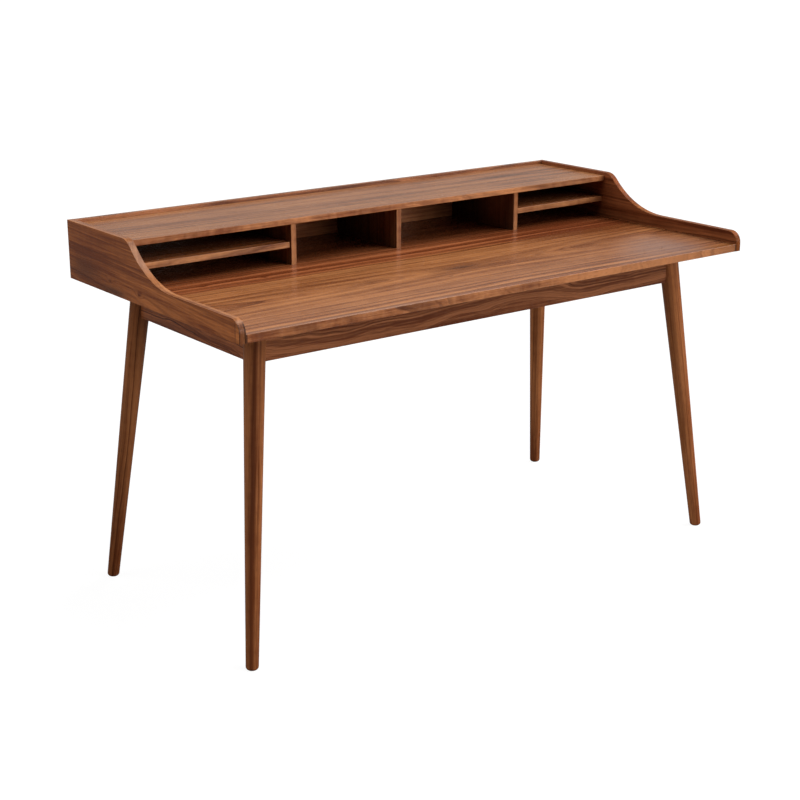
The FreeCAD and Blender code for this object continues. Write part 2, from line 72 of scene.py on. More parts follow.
# Sizes of the fittings in metres, and the outlines of screw heads as shares of their radius and height
BOLT_RADIUS = 0.0040
BOLT_POINT = 0.006
BOLT_WOOD_THREAD = 0.030
BOLT_COLLAR = (0.0305, 0.0315, 0.0380, 0.0390)
BOLT_NUT_THREAD = 0.0395
BOLT_END = 0.0008
NUT_FLATS = 0.013
NUT_BORE = 0.0041
DOMED_HEAD = ((0.96, 1.0), (1.0, 0.88), (1.0, 0.55), (0.93, 0.30), (0.78, 0.12), (0.52, 0.02), (0.30, 0.0))
FLAT_HEAD = ((0.95, 0.08), (0.97, 0.0))

FLOOR_SIZE = 60.0
CAMERA_PLACE = (-2.29655, -2.94154, 1.55672)
CAMERA_TILT, CAMERA_TURN = 72.68, -37.33

# What a look of walnut holds unless it says otherwise. Heart, depth, fall and turn place the log's heart:
# across the board, under its face, the depth lost per metre, and where along the board it is deepest.
# Lights, smudges and shades are oval spots of (x, y, length, width, strength): paler or darker, some of them
# painted light and shade; smoky; and painted shade, on all faces but those that look back. Knots add a
# darkness to that and patches a colour, some of them a painted reflection or highlight. Leaves are (start,
# width, tint)
# bands laid across: a veneer leaf's tone, and painted shade towards and under the hutch. The last line is for
# bands on a board's edges.
PLAIN_LOOK = dict(
    turn=0.0, rings=1.0, wander=0.006, smoke=0.5, contrast=1.0, wide=1.0, mottle=0.08, gloss=0.2,
    tint=(1.0, 1.0, 1.0), knots=(), smudges=(), lights=(), shades=(), patches=(), leaves=(),
    facing=0.60, all_but=False, beyond=0.0, seam=())


def colour_prop(name, description, default):
    """A colour that a user can change."""
    return bpy.props.FloatVectorProperty(
        name=name, description=description, default=default, size=3, subtype="COLOR", min=0.0, max=1.0)


def length_prop(name, description, default):
    """A length that a user can change."""
    return bpy.props.FloatProperty(
        name=name, description=description, default=default, unit="LENGTH", min=0.0)


def level_prop(name, description, default):
    """The strength of a lamp or of the surroundings."""
    return bpy.props.FloatProperty(name=name, description=description, default=default, min=0.0)


class WalnutSettings(bpy.types.PropertyGroup):
    """Colours and sizes of the walnut."""
    pale: colour_prop("Pale wood", "Early wood between the ring lines", (0.450, 0.172, 0.064))
    mid: colour_prop("Middle wood", "Deep tone of the heartwood", (0.165, 0.045, 0.014))
    dark: colour_prop("Ring lines", "Late wood and dark streaks", (0.075, 0.018, 0.005))
    purple: colour_prop("Smoky streaks", "Cool mineral streaks", (0.085, 0.032, 0.019))
    # Painted shade: the dark colour that the shade spots mix into the wood for shadows and shade in recesses
    painted_shade: colour_prop("Stain", "Colour of a full dark stain, laid over the wood", (0.100, 0.075, 0.060))
    # Painted reflection: colour of a patch that paints a soft light's reflection on the desktop's right front
    painted_reflection: colour_prop("Veil", "Dusty sheen in the lacquer", (0.230, 0.130, 0.105))
    # Painted highlight: a pale line along the arris at the left of the desktop's front edge
    glint: colour_prop("Glint", "Pale line along the left of the desktop's front edge", (0.42, 0.21, 0.12))
    amber: colour_prop("Amber", "Warm streak at the desktop's front right corner", (0.250, 0.088, 0.025))
    ring_width: length_prop("Ring width", "Mean distance between strong ring lines across the log", 0.0130)


class FittingSettings(bpy.types.PropertyGroup):
    """Colours of the beech and the plated steel, and the details of the screws and bolts."""
    beech: colour_prop("Beech", "Beech of the corner blocks, bearer and dowels", (0.52, 0.33, 0.18))
    flecks: colour_prop("Beech flecks", "Small dark flecks in the beech", (0.30, 0.15, 0.065))
    zinc: colour_prop("Zinc", "Bright zinc plating", (0.62, 0.64, 0.66))
    nickel: colour_prop("Nickel", "Nickel plating of the shelf supports", (0.66, 0.61, 0.53))
    recess: length_prop("Recess width", "Width of the cross recess in a screw's head", 0.0044)
    screw_pitch: length_prop("Screw pitch", "Distance between the thread's turns on a wood screw", 0.0018)
    bolt_pitch: length_prop("Bolt pitch", "Distance between the thread's turns on a leg bolt", 0.00125)
    nut_chamfer: length_prop("Nut chamfer", "Height of the chamfer on a nut's corners", 0.0009)


class StudioSettings(bpy.types.PropertyGroup):
    """Floor, lamps and camera."""
    floor: colour_prop("Floor", "Pale floor, as the desk is lit by it", (0.32, 0.32, 0.32))
    shaded: colour_prop("Shaded floor", "Floor under the lamps, as the camera sees it", (0.14, 0.14, 0.14))
    glow: level_prop("Floor glow", "Light added to the floor, as the camera sees it", 0.93)
    top: level_prop("Top light", "Strength of the soft light from above and right", 3.4)
    right: level_prop("Right light", "Strength of the light from the front right", 1.3)
    left: level_prop("Left light", "Strength of the light from the left and behind", 1.35)
    front: level_prop("Front light", "Strength of the low light from the front", 0.95)
    fill: level_prop("Sky level", "Level of the light from all around", 0.03)
    gloss: level_prop("Reflected level", "Level of the white backdrop in reflections", 0.45)
    lens: bpy.props.FloatProperty(name="Lens", description="Focal length", default=72.127, unit="CAMERA")


def fill(tree, socket, value):
    """Links a socket to another one, or sets its value."""
    if isinstance(value, bpy.types.NodeSocket):
        tree.links.new(value, socket)
    elif socket.type == "RGBA":
        socket.default_value = tuple(value)[:3] + (1.0,)
    else:
        socket.default_value = value


def put(tree, kind, inputs=None, **values):
    """Adds a shader node, sets its values and fills its inputs."""
    node = tree.nodes.new("ShaderNode" + kind)
    for name, value in values.items():
        setattr(node, name, value)
    for key, value in (inputs or {}).items():
        fill(tree, node.inputs[key], value)
    return node


def calc(tree, operation, *numbers, clamp=False):
    """One sum, product or function of numbers."""
    inputs = dict(enumerate(numbers))
    return put(tree, "Math", inputs, operation=operation, use_clamp=clamp).outputs[0]


def times(tree, first, second):
    """The product of two numbers."""
    return calc(tree, "MULTIPLY", first, second)


def times_plus(tree, first, second, third):
    """The product of two numbers, and a third added."""
    return calc(tree, "MULTIPLY_ADD", first, second, third)


def swing(tree, value):
    """A number from 0 to 1, as one from minus a half to a half."""
    return calc(tree, "SUBTRACT", value, 0.5)


def vector_calc(tree, operation, first, second):
    """One sum or product of two vectors."""
    node = put(tree, "VectorMath", {0: first, 1: second}, operation=operation)
    return node.outputs["Value" if operation == "DOT_PRODUCT" else "Vector"]


def noise(tree, vector, stretch, detail=2.0, roughness=0.5, distortion=0.0):
    """Noise from 0 to 1 over space, with its waves per metre along each axis."""
    inputs = {"Vector": vector_calc(tree, "MULTIPLY", vector, stretch), "Scale": 1.0, "Detail": detail,
              "Roughness": roughness, "Distortion": distortion}
    return put(tree, "TexNoise", inputs, noise_dimensions="3D").outputs["Fac"]


def line_noise(tree, value, stretch, detail=2.0, roughness=0.5):
    """Noise from 0 to 1 along one number."""
    inputs = {"W": times(tree, value, stretch), "Scale": 1.0, "Detail": detail, "Roughness": roughness}
    return put(tree, "TexNoise", inputs, noise_dimensions="1D").outputs["Fac"]


def span(tree, value, low, high, to_low=0.0, to_high=1.0, smooth=False):
    """Stretches one span of a number to another, without leaving it."""
    inputs = {"Value": value, "From Min": low, "From Max": high, "To Min": to_low, "To Max": to_high}
    kind = "SMOOTHSTEP" if smooth else "LINEAR"
    return put(tree, "MapRange", inputs, interpolation_type=kind).outputs["Result"]


def blend_colours(tree, factor, first, second, mode="MIX"):
    """Mixes two colours. The factor is kept from 0 to 1."""
    inputs = {0: factor, 6: first, 7: second}
    return put(tree, "Mix", inputs, data_type="RGBA", blend_type=mode, clamp_factor=True).outputs[2]


def scaled(colour, share):
    """A colour made lighter or darker."""
    return tuple(min(1.0, part * share) for part in colour)


def parts_of(tree, vector):
    """The three numbers of a vector."""
    return put(tree, "SeparateXYZ", {0: vector}).outputs


def vector_of(tree, x, y, z):
    """A vector from three numbers."""
    return put(tree, "CombineXYZ", {0: x, 1: y, 2: z}).outputs[0]


def object_place(tree):
    """The place on the desk, in its own coordinates."""
    return put(tree, "TexCoord").outputs["Object"]


def true_normal(tree):
    """The direction in which a face looks."""
    return put(tree, "NewGeometry").outputs["True Normal"]


def group_tree(name, inputs, outputs):
    """An empty shader node group with named sockets, and its two ends."""
    tree = bpy.data.node_groups.new(name, "ShaderNodeTree")
    kinds = {"Vector": "Vector", "Place": "Vector"}
    kinds.update(dict.fromkeys(("Pale", "Mid", "Dark", "Purple", "Colour"), "Color"))
    for way, labels in (("INPUT", inputs), ("OUTPUT", outputs)):
        for label in labels:
            kind = "NodeSocket" + kinds.get(label, "Float")
            tree.interface.new_socket(label, in_out=way, socket_type=kind)
    return tree, tree.nodes.new("NodeGroupInput").outputs, tree.nodes.new("NodeGroupOutput").inputs


def use_group(tree, group, **values):
    """Places a node group and fills its inputs by name."""
    node = put(tree, "Group", node_tree=bpy.data.node_groups[group])
    for key, value in values.items():
        fill(tree, node.inputs[key.replace("_", " ").capitalize()], value)
    return node.outputs


def seeded(tree, given):
    """A group's vector, moved by its seed so that each board has noise of its own."""
    shift = vector_of(tree, given["Seed"], given["Seed"], given["Seed"])
    return vector_calc(tree, "ADD", given["Vector"], shift)


def build_knot_group():
    """A knot or spot: lifts the rings round it and gives a dark eye."""
    tree, given, out = group_tree("Knot", ("Vector", "Place", "Length", "Width", "Lift"), ("Lift", "Eye"))
    away = parts_of(tree, vector_calc(tree, "SUBTRACT", given["Vector"], given["Place"]))
    along = calc(tree, "DIVIDE", away[0], given["Length"])
    across = calc(tree, "DIVIDE", away[1], given["Width"])
    square = calc(tree, "ADD", times(tree, along, along), times(tree, across, across))
    bump = calc(tree, "EXPONENT", times(tree, square, -1.0))
    fill(tree, out["Lift"], times(tree, bump, given["Lift"]))
    fill(tree, out["Eye"], calc(tree, "POWER", bump, 6.0))


def build_figure_group():
    """Rings of a log along X, cut by a board's face: cathedrals in the middle and straight lines beside."""
    tree, given, out = group_tree(
        "Log figure", ("Vector", "Heart", "Depth", "Fall", "Turn", "Ring width", "Wander", "Lift", "Seed"),
        ("Lines", "Bands", "Smoke"))
    placed = seeded(tree, given)
    x, y, z = parts_of(tree, given["Vector"])
    tip_rounding = 0.0036
    from_turn = calc(tree, "SUBTRACT", x, given["Turn"])
    rounded = calc(tree, "SQRT", calc(tree, "ADD", times(tree, from_turn, from_turn), tip_rounding))
    depth = calc(tree, "SUBTRACT", given["Depth"], times(tree, rounded, given["Fall"]))
    depth = calc(tree, "ADD", depth, z)
    side = calc(tree, "SUBTRACT", y, given["Heart"])
    ring = calc(tree, "SQRT", calc(tree, "ADD", times(tree, side, side), times(tree, depth, depth)))
    for stretch, share in (((1.9, 7.0, 7.0), 3.0), ((8.0, 34.0, 34.0), 0.5)):
        wave = swing(tree, noise(tree, placed, stretch))
        ring = times_plus(tree, wave, times(tree, given["Wander"], share), ring)
    ring = calc(tree, "ADD", ring, given["Lift"])
    seed_step = 7.3
    count = times_plus(tree, given["Seed"], seed_step, calc(tree, "DIVIDE", ring, given["Ring width"]))
    uneven = times_plus(tree, line_noise(tree, count, 0.37, 1.0), 2.4, count)
    number = calc(tree, "FLOOR", uneven)
    strength = put(tree, "TexWhiteNoise", {"W": number}, noise_dimensions="1D").outputs["Value"]
    tooth = calc(tree, "FRACT", uneven)
    rise = calc(tree, "POWER", tooth, 1.8)
    line = times(tree, rise, span(tree, tooth, 0.90, 1.0, 1.0, 0.0, smooth=True))
    broken = noise(tree, placed, (4.0, 60.0, 60.0))
    line = times(tree, line, span(tree, strength, 0.10, 0.85, 0.10, 1.0))
    line = times(tree, line, span(tree, broken, 0.35, 0.60, 0.45, 1.0))
    fine = line_noise(tree, uneven, 2.7, 2.0, 0.6)
    fill(tree, out["Lines"], calc(tree, "MULTIPLY_ADD", span(tree, fine, 0.50, 0.78), 0.45, line, clamp=True))
    fill(tree, out["Bands"], line_noise(tree, uneven, 0.72, 2.0, 0.60))
    wide = line_noise(tree, count, 0.11)
    drift = noise(tree, placed, (1.5, 12.0, 12.0))
    fill(tree, out["Smoke"], times(tree, span(tree, wide, 0.5, 0.72), span(tree, drift, 0.42, 0.62)))


def build_fibre_group():
    """Streaks, fibres, open pores, clouds and cross figure of wood whose grain runs along X."""
    layers = (("Streaks", (2.6, 95.0, 95.0), 4.0, 0.70, 0.0), ("Fibre", (12.0, 520.0, 520.0), 2.0, 0.6, 0.0),
              ("Pores", (75.0, 1150.0, 1150.0), 1.0, 0.5, 0.0), ("Cloud", (3.0, 11.0, 11.0), 3.0, 0.55, 0.0),
              ("Flame", (55.0, 16.0, 16.0), 2.0, 0.5, 0.4))
    tree, given, out = group_tree("Fibres", ("Vector", "Seed"), [layer[0] for layer in layers])
    placed = seeded(tree, given)
    for name, *texture in layers:
        value = noise(tree, placed, *texture)
        fill(tree, out[name], span(tree, value, 0.60, 0.70) if name == "Pores" else value)


def build_tone_group():
    """Walnut's colour, roughness and relief from its lines, fibres and streaks."""
    tree, given, out = group_tree(
        "Walnut tones",
        ("Lines", "Bands", "Streaks", "Fibre", "Pores", "Cloud", "Flame", "Eye", "Smoke", "Light", "Contrast",
         "Wide", "Mottle", "Pale", "Mid", "Dark", "Purple"),
        ("Colour", "Roughness", "Height"))
    middle_tone = 0.56
    band_share = times(tree, given["Wide"], 2.2)
    tone = 0.0
    for name, share in (("Bands", band_share), ("Streaks", 2.3), ("Cloud", 1.2), ("Fibre", 1.1)):
        tone = times_plus(tree, swing(tree, given[name]), share, tone)
    tone = times_plus(tree, tone, given["Contrast"], middle_tone)
    flame = times(tree, swing(tree, given["Flame"]), times(tree, given["Mottle"], 4.0))
    tone = calc(tree, "ADD", calc(tree, "ADD", tone, flame), given["Light"])
    colour = blend_colours(tree, tone, given["Mid"], given["Pale"])
    colour = blend_colours(tree, given["Smoke"], colour, given["Purple"])
    lines = times(tree, times(tree, given["Lines"], 0.92), given["Contrast"])
    for mask in (lines, times(tree, given["Eye"], 0.9), times(tree, given["Pores"], 0.38)):
        colour = blend_colours(tree, mask, colour, given["Dark"])
    fill(tree, out["Colour"], colour)
    rough = times_plus(tree, given["Pores"], 0.14, 0.20)
    fill(tree, out["Roughness"], times_plus(tree, given["Cloud"], 0.08, rough))
    height = times_plus(tree, given["Pores"], -1.2, given["Fibre"])
    fill(tree, out["Height"], times_plus(tree, given["Lines"], -0.4, height))


def build_wear_group():
    """Mask of the edges, where handling has rubbed the finish thin."""
    tree, given, out = group_tree("Edge wear", ("Radius", "Vector"), ("Wear",))
    soft = put(tree, "Bevel", {"Radius": given["Radius"]}, samples=4).outputs[0]
    bent = calc(tree, "SUBTRACT", 1.0, vector_calc(tree, "DOT_PRODUCT", soft, true_normal(tree)))
    uneven = noise(tree, given["Vector"], (60.0, 60.0, 60.0), 3.0, 0.6)
    edge = times(tree, span(tree, bent, 0.02, 0.30), span(tree, uneven, 0.35, 0.65, 0.35, 1.0))
    fill(tree, out["Wear"], edge)


def build_groups():
    """Builds every shared node group once."""
    build_knot_group()
    build_figure_group()
    build_fibre_group()
    build_tone_group()
    build_wear_group()


def cleared(owner):
    """The node tree of a material or world, with nothing in it."""
    owner.use_nodes = True
    owner.node_tree.nodes.clear()
    return owner.node_tree


def new_material(name):
    """A material with its Principled shader ready."""
    material = bpy.data.materials.new(name)
    tree = cleared(material)
    shader = put(tree, "BsdfPrincipled")
    put(tree, "OutputMaterial", {"Surface": shader.outputs[0]})
    return material, tree, shader


def coat(tree, shader, colour, rough, height, strength, distance):
    """Gives a shader its colour, roughness and relief."""
    bump = put(tree, "Bump", {"Height": height, "Strength": strength, "Distance": distance})
    for label, value in (("Base Color", colour), ("Roughness", rough), ("Normal", bump.outputs[0])):
        fill(tree, shader.inputs[label], value)


def grain_vector(tree, along, across, place=ORIGIN, lean=ORIGIN):
    """The place on a board from its middle, with X along the grain and Y across it, turned by a lean."""
    centred = vector_calc(tree, "SUBTRACT", object_place(tree), place)
    if any(lean):
        centred = put(tree, "Mapping", {"Vector": centred, "Rotation": lean}).outputs[0]
    named = dict(zip("xyz", parts_of(tree, centred)))
    rest = (set(named) - {along, across}).pop()
    return vector_of(tree, named[along], named[across], named[rest])


def knot(tree, vector, x, y, length, width, lift):
    """One knot or spot."""
    return use_group(tree, "Knot", vector=vector, place=(x, y, 0.0), length=length, width=width, lift=lift)


def spots(tree, vector, places, amount=0.0):
    """Adds up soft oval spots, each of (x, y, length, width, strength)."""
    for spot in places:
        amount = calc(tree, "ADD", knot(tree, vector, *spot)["Lift"], amount)
    return amount


def grain(**values):
    """A look of walnut, with what it doesn't say taken from the plain one."""
    return dict(PLAIN_LOOK, **values)


def walnut_layer(tree, vector, look):
    """Colour, roughness and height of walnut with its grain along the given vector's X."""
    settings = bpy.context.scene.desk_walnut
    lift = 0.0
    eye = 0.0
    for *spot, darkness in look["knots"]:
        mark = knot(tree, vector, *spot)
        lift = calc(tree, "ADD", lift, mark["Lift"])
        eye = times_plus(tree, mark["Eye"], darkness, eye)
    figure = use_group(
        tree, "Log figure", vector=vector, lift=lift, ring_width=settings.ring_width * look["rings"],
        **{key: look[key] for key in ("heart", "depth", "fall", "turn", "wander", "seed")})
    fibres = use_group(tree, "Fibres", vector=vector, seed=look["seed"])
    smoke = spots(tree, vector, look["smudges"], times(tree, figure["Smoke"], look["smoke"]))
    wood = {}
    for key in ("pale", "mid", "dark", "purple"):
        wood[key] = tuple(c * t for c, t in zip(getattr(settings, key), look["tint"]))
    wood.update({key: look[key] for key in ("contrast", "wide", "mottle")})
    wood.update({label.lower(): fibres[label] for label in fibres.keys()})
    tones = use_group(
        tree, "Walnut tones", lines=figure["Lines"], bands=figure["Bands"], eye=eye, smoke=smoke,
        light=spots(tree, vector, look["lights"]), **wood)
    colour = tones["Colour"]
    # Bands across the board, each multiplied by its tint: a veneer leaf's tone in one place, painted shade
    # towards the back in others
    for start, width, leaf_and_shade_tint in look["leaves"]:
        mask = span(tree, parts_of(tree, vector)[1], start, start + width, smooth=True)
        colour = blend_colours(tree, mask, colour, leaf_and_shade_tint, "MULTIPLY")
    for *spot, patch in look["patches"]:
        colour = blend_colours(tree, spots(tree, vector, [spot]), colour, patch)
    # Shade spots: painted shade and shadow, mixed towards the painted shade colour on all faces but those
    # that look back
    if look["shades"]:
        normal = parts_of(tree, true_normal(tree))
        not_behind = span(tree, normal[1], 0.20, 0.50, 1.0, 0.0)
        shade = times(tree, spots(tree, vector, look["shades"]), not_behind)
        colour = blend_colours(tree, shade, colour, settings.painted_shade, "MULTIPLY")
    return colour, tones["Roughness"], tones["Height"]


def walnut(name, look, along="x", across="y", place=ORIGIN, lean=ORIGIN, edges=()):
    """Lacquered walnut. Each edge gives the faces across one axis a band with a look of its own."""
    settings = bpy.context.scene.desk_walnut
    material, tree, shader = new_material(name)
    colour, rough, height = walnut_layer(tree, grain_vector(tree, along, across, place, lean), look)
    position = object_place(tree)
    x, y, _ = parts_of(tree, position)
    for axis, band_look, band_along, band_across, band_place in edges:
        facing, beyond = band_look["facing"], band_look["beyond"]
        normal = parts_of(tree, true_normal(tree))
        mask = span(tree, calc(tree, "ABSOLUTE", normal[axis]), facing, facing + 0.20)
        if band_look["all_but"]:
            mask = calc(tree, "SUBTRACT", 1.0, mask)
        if beyond:
            mask = times(tree, mask, span(tree, calc(tree, "ABSOLUTE", y), beyond, beyond + 0.004))
        band = walnut_layer(tree, grain_vector(tree, band_along, band_across, band_place), band_look)[0]
        if band_look["seam"]:
            middle, half, amount = band_look["seam"]
            off = calc(tree, "ABSOLUTE", calc(tree, "SUBTRACT", calc(tree, "ABSOLUTE", x), middle))
            joint = span(tree, off, half, half + 0.0006, 0.0, amount)
            band = blend_colours(tree, joint, band, scaled(settings.dark, 0.3))
        colour = blend_colours(tree, mask, colour, band)
    wear = use_group(tree, "Edge wear", vector=position, radius=0.0015)["Wear"]
    colour = blend_colours(tree, times(tree, wear, 0.22), colour, settings.pale)
    coat(tree, shader, colour, times_plus(tree, wear, -0.05, rough), height, 0.25, 0.0003)
    shader.inputs["IOR"].default_value = 1.45
    shader.inputs["Specular IOR Level"].default_value = look["gloss"]
    return material


def front_edge(look, height):
    """The band on the front and rear edges of a level board."""
    return ((1, look, "x", "z", (0.0, 0.0, height)),)


def dress(material, *nodes):
    """Gives a material to CAD nodes."""
    for name in nodes:
        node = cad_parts[name]
        for slot in node.material_slots:
            slot.material = material
        if not node.material_slots:
            node.data.materials.append(material)


def beech(name, along, across, place, seed):
    """Plain beech with its small flecks, left matt."""
    settings = bpy.context.scene.desk_fittings
    material, tree, shader = new_material(name)
    vector = grain_vector(tree, along, across, place)
    fibres = use_group(tree, "Fibres", vector=vector, seed=seed)
    pale = scaled(settings.beech, 1.12)
    deep = scaled(settings.beech, 0.78)
    colour = blend_colours(tree, span(tree, fibres["Streaks"], 0.30, 0.70), deep, pale)
    colour = blend_colours(tree, span(tree, fibres["Cloud"], 0.45, 0.75, 0.0, 0.35), colour, deep)
    flecks = span(tree, noise(tree, vector, (260.0, 1500.0, 900.0), 1.0), 0.60, 0.68)
    colour = blend_colours(tree, times(tree, flecks, 0.75), colour, settings.flecks)
    wear = use_group(tree, "Edge wear", vector=vector, radius=0.001)["Wear"]
    colour = blend_colours(tree, times(tree, wear, 0.35), colour, pale)
    rough = times_plus(tree, fibres["Fibre"], 0.15, 0.50)
    coat(tree, shader, colour, rough, times_plus(tree, flecks, -0.8, fibres["Fibre"]), 0.4, 0.0003)
    return material


def plated(name, colour, roughness):
    """Plated steel: clouded by its bath, finely grained, and rubbed bright on its edges."""
    material, tree, shader = new_material(name)
    place = object_place(tree)
    cloud = noise(tree, place, (160.0, 160.0, 160.0), 3.0, 0.6)
    fine = noise(tree, place, (2400.0, 2400.0, 2400.0), 2.0, 0.6)
    mixed = blend_colours(tree, span(tree, cloud, 0.35, 0.65, 0.0, 0.8), colour, scaled(colour, 0.72))
    wear = use_group(tree, "Edge wear", vector=place, radius=0.0004)["Wear"]
    mixed = blend_colours(tree, times(tree, wear, 0.7), mixed, scaled(colour, 1.20))
    rough = times_plus(tree, wear, -0.10, times_plus(tree, cloud, 0.20, roughness))
    coat(tree, shader, mixed, rough, fine, 0.3, 0.00005)
    shader.inputs["Metallic"].default_value = 1.0
    return material


def solids_of(name):
    """The separate solids of a CAD node, each as its list of points."""
    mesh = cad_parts[name].data
    keys = [tuple(round(number, 6) for number in vertex.co) for vertex in mesh.vertices]
    above = {key: key for key in keys}

    def top(key):
        while above[key] != key:
            above[key] = above[above[key]]
            key = above[key]
        return key

    for face in mesh.polygons:
        first = top(keys[face.vertices[0]])
        for index in face.vertices[1:]:
            above[top(keys[index])] = first
    groups = {}
    for key in above:
        groups.setdefault(top(key), []).append(Vector(key))
    return list(groups.values())


def box_of(points):
    """Middle and size of the box round some points."""
    low = Vector([min(point[axis] for point in points) for axis in range(3)])
    high = Vector([max(point[axis] for point in points) for axis in range(3)])
    return (low + high) / 2, high - low


def inward(points):
    """Level direction from a corner fitting to the middle of the desk."""
    middle = box_of(points)[0]
    return Vector((-math.copysign(1.0, middle.x), -math.copysign(1.0, middle.y), 0.0)).normalized()


def head_way(points):
    """Direction in which a bracket's or the bearer's screw head looks: down, or level into the base frame."""
    middle, size = box_of(points)
    axis = max(range(3), key=lambda index: size[index])
    way = Vector()
    way[axis] = -1.0 if axis == 2 else -math.copysign(1.0, middle[axis])
    return way


def seats_of(node, way):
    """For each solid of a node, its length, the middle of its end and the direction that the end looks in."""
    seats = []
    for points in solids_of(node):
        direction = way(points)
        middle = box_of(points)[0]
        reach = [point.dot(direction) for point in points]
        end = max((point - middle).dot(direction) for point in points)
        seats.append((max(reach) - min(reach), middle + direction * end, direction))
    return seats


def pick(piece=None):
    """Selects nothing, or one piece alone that is then active."""
    bpy.ops.object.select_all(action="DESELECT")
    if piece:
        bpy.context.view_layer.objects.active = piece
        piece.select_set(True)


def turned(name, profile, sides=24):
    """A round piece along Z, drawn out ring by ring from its lower end to its upper end."""
    pick()
    radius, height = profile[0]
    place = (0.0, 0.0, height)
    bpy.ops.mesh.primitive_circle_add(vertices=sides, radius=radius, fill_type="NGON", location=place)
    piece = bpy.context.object
    piece.name = name
    bpy.ops.object.transform_apply(location=True, rotation=True, scale=True)
    bpy.ops.object.mode_set(mode="EDIT")
    bpy.ops.mesh.select_all(action="SELECT")
    for next_radius, next_height in profile[1:]:
        bpy.ops.mesh.extrude_region_move(TRANSFORM_OT_translate={"value": (0.0, 0.0, next_height - height)})
        share = next_radius / radius
        bpy.ops.transform.resize(value=(share, share, 1.0), center_override=(0.0, 0.0, next_height))
        radius, height = next_radius, next_height
    bpy.ops.mesh.select_all(action="SELECT")
    bpy.ops.mesh.normals_make_consistent(inside=False)
    bpy.ops.object.mode_set(mode="OBJECT")
    return piece


def cut_by(piece, tool, operation="DIFFERENCE"):
    """Cuts a piece by a tool, or keeps what both share, and takes the tool away."""
    pick(piece)
    cut = piece.modifiers.new("Cut", "BOOLEAN")
    cut.operation = operation
    cut.solver = "EXACT"
    cut.object = tool
    bpy.ops.object.modifier_apply(modifier=cut.name)
    bpy.data.objects.remove(tool, do_unlink=True)


def cross_recess(piece, width, depth):
    """Sinks a tapered cross into the top of a screw's head."""
    for turn in (0.0, math.pi / 2):
        pick()
        arm = (width, width * 0.22, depth * 2)
        bpy.ops.mesh.primitive_cube_add(size=1.0, location=ORIGIN, scale=arm)
        tool = bpy.context.object
        bpy.ops.object.mode_set(mode="EDIT")
        bpy.ops.mesh.select_all(action="DESELECT")
        bpy.ops.object.mode_set(mode="OBJECT")
        for face in tool.data.polygons:
            face.select = face.normal.z < -0.5
        bpy.ops.object.mode_set(mode="EDIT")
        bpy.ops.transform.resize(value=(0.30, 0.80, 1.0), center_override=(0.0, 0.0, -depth))
        bpy.ops.object.mode_set(mode="OBJECT")
        tool.rotation_euler.z = turn
        bpy.context.view_layer.update()
        cut_by(piece, tool)


def threaded(start, end, outer, inner, pitch):
    """Profile points of a thread's turns between two heights."""
    points = []
    for turn in range(int((end - start) / pitch)):
        height = start + turn * pitch
        points += [(inner, height), (outer, height + pitch * 0.45), (outer, height + pitch * 0.60)]
    return points


def smooth(piece, degrees):
    """Shades the round faces smooth and keeps the sharp edges."""
    pick(piece)
    bpy.ops.object.shade_smooth_by_angle(angle=math.radians(degrees))


def set_out(master, seats, material, node):
    """Sets a copy of a fitting on each seat, turned as its end looks, and takes the master away."""
    for number, (_, seat, direction) in enumerate(seats, 1):
        piece = master.copy()
        piece.data = master.data.copy()
        piece.name = "%s_%02d" % (node.rstrip("s"), number)
        piece.data.materials.clear()
        piece.data.materials.append(material)
        bpy.context.scene.collection.objects.link(piece)
        side = Vector((0.0, 0.0, 1.0)) if abs(direction.z) < 0.5 else Vector((1.0, 0.0, 0.0))
        turn = Matrix((side, direction.cross(side), direction)).transposed().to_4x4()
        piece.matrix_world = Matrix.Translation(seat) @ turn
        pick(piece)
        bpy.ops.object.transform_apply(location=True, rotation=True, scale=True)
        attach(piece, "desk")
        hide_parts(node)
    bpy.data.objects.remove(master, do_unlink=True)


